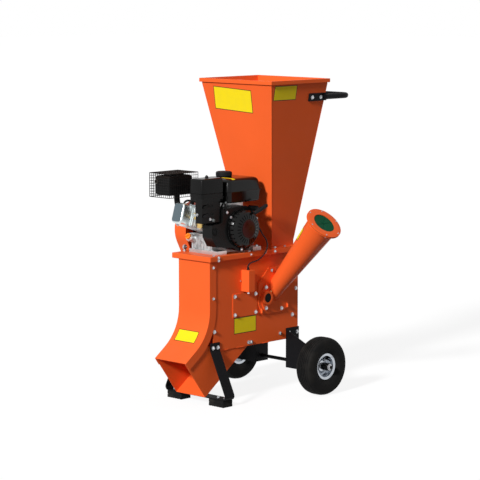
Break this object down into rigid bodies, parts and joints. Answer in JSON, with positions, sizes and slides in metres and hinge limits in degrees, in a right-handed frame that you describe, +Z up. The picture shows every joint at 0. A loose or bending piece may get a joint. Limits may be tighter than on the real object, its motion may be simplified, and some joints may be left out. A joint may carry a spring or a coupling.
{
  "type": "garden shredder",
  "caption": "Petrol garden shredder on two pneumatic wheels, with a tall leaf hopper, a side cone for branches, a recoil-start engine and a curved discharge chute.",
  "frame": {"origin": "centre of the footprint on the ground", "axes": "+X towards the branch cone, -Y towards the discharge chute, +Z up"},
  "size_m": [0.785, 0.9226, 1.41],
  "materials": {
    "black_paint": "semi-gloss black paint",
    "black_plastic": "fine-grained black plastic",
    "cast_aluminium": "cast and blasted",
    "green_rubber": "matt green rubber",
    "orange_paint": "glossy orange paint on sheet steel",
    "orange_plastic": "orange plastic",
    "rubber": "matt black rubber",
    "steel": "turned steel",
    "tyre": "matt black tyre rubber",
    "zinc_plate": "bright zinc plate"
  },
  "bodies": {
    "frame": {"body_side_right": "orange_paint", "body_side_left": "orange_paint", "chamber_wrap": "orange_paint", "engine_plate": "orange_paint", "front_cover": "orange_paint", "discharge_duct": "orange_paint", "inspection_panel": "orange_paint", "hopper": "orange_paint", "handle": "black_paint", "chipper_cone": "orange_paint", "rubber_flap": "green_rubber", "cone_ring": "orange_paint", "bearing_housing_right": "orange_paint", "bearing_housing_left": "orange_paint", "switch_box": "orange_paint", "kill_cable": "black_plastic", "belt_guard": "orange_paint", "drive_belt": "rubber", "stand": "black_paint", "axle": "steel", "foot_pad_right": "rubber", "wheel_bracket_right": "black_paint", "foot_pad_left": "rubber", "wheel_bracket_left": "black_paint", "crankcase": "cast_aluminium", "cylinder_block": "cast_aluminium", "valve_cover": "cast_aluminium", "spark_plug": "black_plastic", "muffler": "black_paint", "muffler_guard": "black_paint", "carburettor": "cast_aluminium", "air_filter_base": "black_plastic", "air_filter_cover": "black_plastic", "fuel_tank": "black_paint", "fan_shroud": "black_paint", "recoil_cover": "black_paint"},
    "rotor": {"rotor_shaft": "steel", "rotor_drum": "steel", "knife_1": "steel", "knife_2": "steel", "rotor_pulley": "steel"},
    "crank": {"crankshaft": "steel", "flywheel": "cast_aluminium", "clutch_pulley": "steel"},
    "wheel_right": {"rim_right": "zinc_plate", "tyre_right": "tyre"},
    "wheel_left": {"rim_left": "zinc_plate", "tyre_left": "tyre"},
    "fuel_cap": {"tank_cap": "black_plastic"},
    "filler_cap": {"oil_cap": "orange_plastic"},
    "throttle": {"throttle_lever": "black_plastic"},
    "choke": {"choke_lever": "black_plastic"},
    "fuel_tap": {"fuel_lever": "black_plastic"},
    "ignition": {"engine_switch": "black_plastic"},
    "starter": {"recoil_handle": "black_plastic"},
    "plunger": {"switch_plunger": "zinc_plate"},
    "swinging_hammer_1": {"hammer_1": "steel"},
    "swinging_hammer_2": {"hammer_2": "steel"},
    "swinging_hammer_3": {"hammer_3": "steel"},
    "swinging_hammer_4": {"hammer_4": "steel"}
  },
  "joints": [
    {"name": "wheel_right_spin", "type": "hinge", "parent": "frame", "child": "wheel_right", "pos_m": [0.21146, 0.21378, 0.13], "axis": [1, 0, 0], "continuous": true},
    {"name": "wheel_left_spin", "type": "hinge", "parent": "frame", "child": "wheel_left", "pos_m": [-0.33054, 0.21378, 0.13], "axis": [1, 0, 0], "continuous": true},
    {"name": "rotor_spin", "type": "hinge", "parent": "frame", "child": "rotor", "pos_m": [-0.05953, 0.02778, 0.441], "axis": [1, 0, 0], "continuous": true},
    {"name": "crank_spin", "type": "hinge", "parent": "frame", "child": "crank", "pos_m": [-0.05953, -0.12122, 0.765], "axis": [1, 0, 0], "continuous": true},
    {"name": "hammer_1_swing", "type": "hinge", "parent": "rotor", "child": "swinging_hammer_1", "pos_m": [-0.11178, 0.10698, 0.5202], "axis": [1, 0, 0], "continuous": true},
    {"name": "hammer_2_swing", "type": "hinge", "parent": "rotor", "child": "swinging_hammer_2", "pos_m": [-0.07629, -0.05141, 0.5202], "axis": [1, 0, 0], "continuous": true},
    {"name": "hammer_3_swing", "type": "hinge", "parent": "rotor", "child": "swinging_hammer_3", "pos_m": [-0.04079, -0.05141, 0.3618], "axis": [1, 0, 0], "continuous": true},
    {"name": "hammer_4_swing", "type": "hinge", "parent": "rotor", "child": "swinging_hammer_4", "pos_m": [-0.00528, 0.10698, 0.3618], "axis": [1, 0, 0], "continuous": true},
    {"name": "fuel_cap_turn", "type": "hinge", "parent": "frame", "child": "fuel_cap", "pos_m": [-0.08053, -0.10922, 0.985], "axis": [0, 0, 1], "range_deg": [0, 90]},
    {"name": "filler_cap_turn", "type": "hinge", "parent": "frame", "child": "filler_cap", "pos_m": [-0.12754, -0.28122, 0.728], "axis": [0, -0.891, 0.454], "range_deg": [0, 180]},
    {"name": "throttle_swing", "type": "hinge", "parent": "frame", "child": "throttle", "pos_m": [0.04577, -0.21922, 0.843], "axis": [1, 0, 0], "range_deg": [0, 45]},
    {"name": "choke_swing", "type": "hinge", "parent": "frame", "child": "choke", "pos_m": [0.03476, -0.31622, 0.878], "axis": [1, 0, 0], "range_deg": [0, 45]},
    {"name": "fuel_tap_swing", "type": "hinge", "parent": "frame", "child": "fuel_tap", "pos_m": [0.03476, -0.31622, 0.84], "axis": [1, 0, 0], "range_deg": [0, 60]},
    {"name": "ignition_turn", "type": "hinge", "parent": "frame", "child": "ignition", "pos_m": [0.04577, -0.28622, 0.762], "axis": [1, 0, 0], "range_deg": [0, 60]},
    {"name": "starter_pull", "type": "slide", "parent": "frame", "child": "starter", "axis": [1, 0, 0], "range_m": [0, 0.5], "stiffness_N_per_m": 30, "springref_m": -0.05},
    {"name": "plunger_press", "type": "slide", "parent": "frame", "child": "plunger", "axis": [0, 0, 1], "range_m": [0, 0.005], "stiffness_N_per_m": 300, "springref_m": -0.002}
  ],
  "couplings": [
    {"joint": "crank_spin", "follows": "rotor_spin", "ratio": 1.5}
  ]
}
